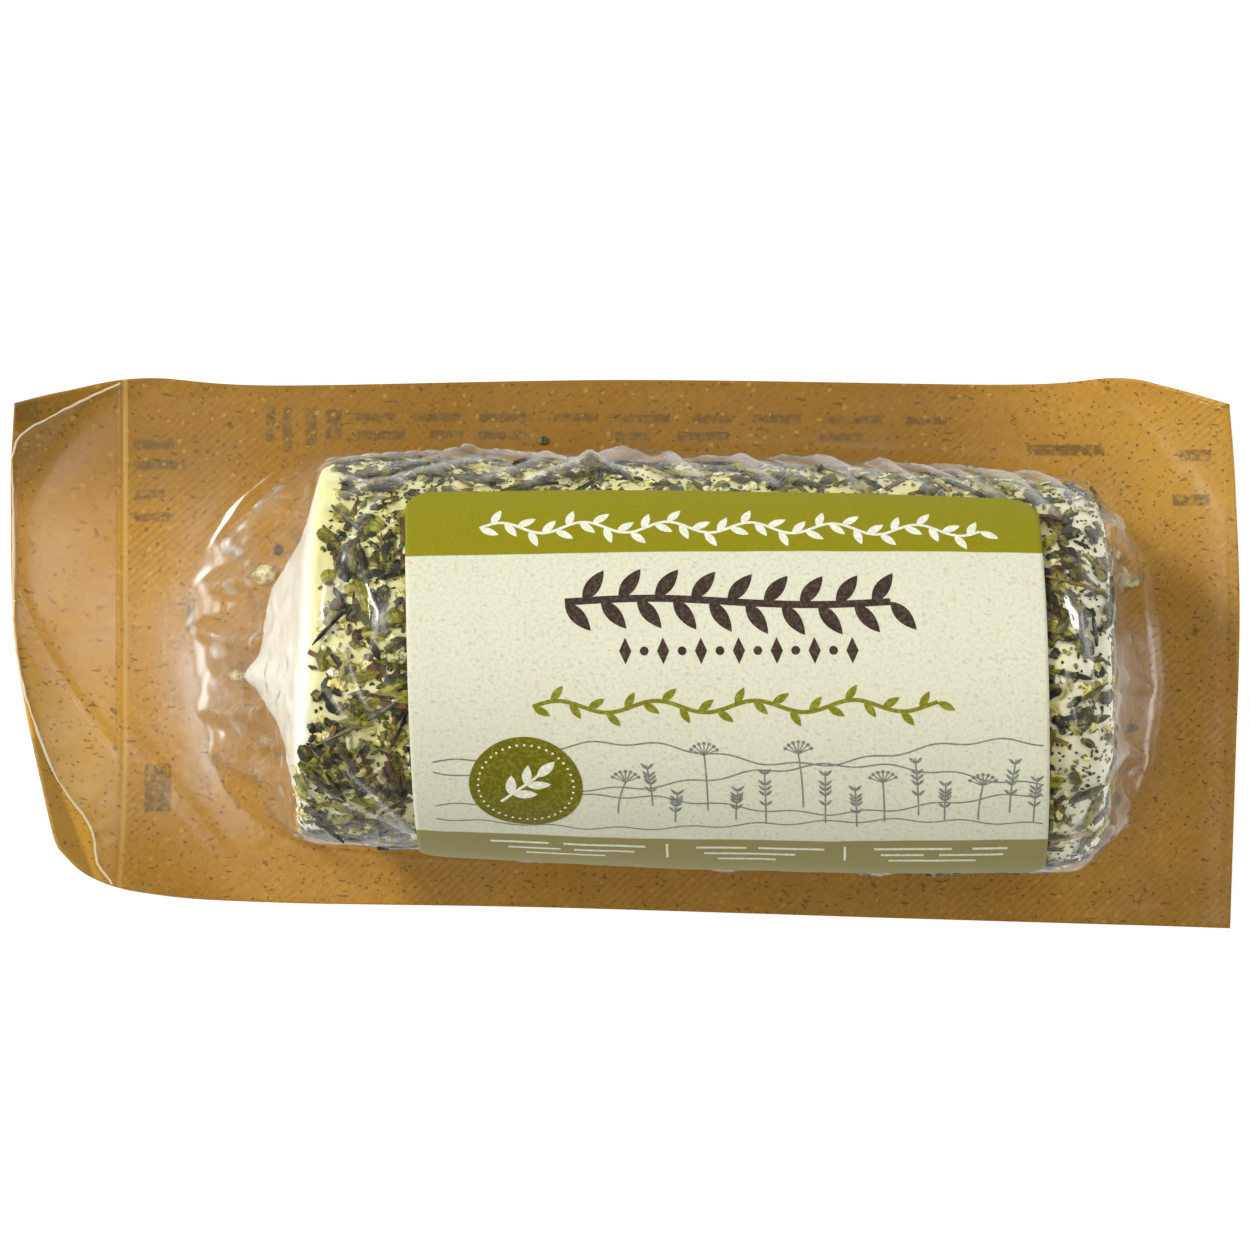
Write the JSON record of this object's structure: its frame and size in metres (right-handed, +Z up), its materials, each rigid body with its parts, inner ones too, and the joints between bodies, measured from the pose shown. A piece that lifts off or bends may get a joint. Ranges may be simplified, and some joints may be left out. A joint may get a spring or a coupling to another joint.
{
  "type": "sealed pack of a herb-coated goat cheese log",
  "caption": "A short log of soft goat cheese coated in dried herbs, sealed under clear film on a kraft-look backing sheet with curled corners, with a curved paper label on the film.",
  "frame": {"origin": "centre of the bounding box at the underside of the backing sheet", "axes": "+X along the log towards its right end in the picture, +Y towards the edge of the backing at the top of the picture, +Z up from the table through the log"},
  "size_m": [0.1329, 0.0595, 0.0426],
  "materials": {
    "kraft_web": "kraft-look sheet with a satin plastic face",
    "clear_film": "clear glossy packing film",
    "herbed_cheese": null,
    "label_paper": "coated paper label, satin"
  },
  "bodies": {
    "root": {"backing_sheet": "kraft_web", "film_flange": "clear_film", "sealed_log": "herbed_cheese", "label": "label_paper"}
  },
  "joints": []
}
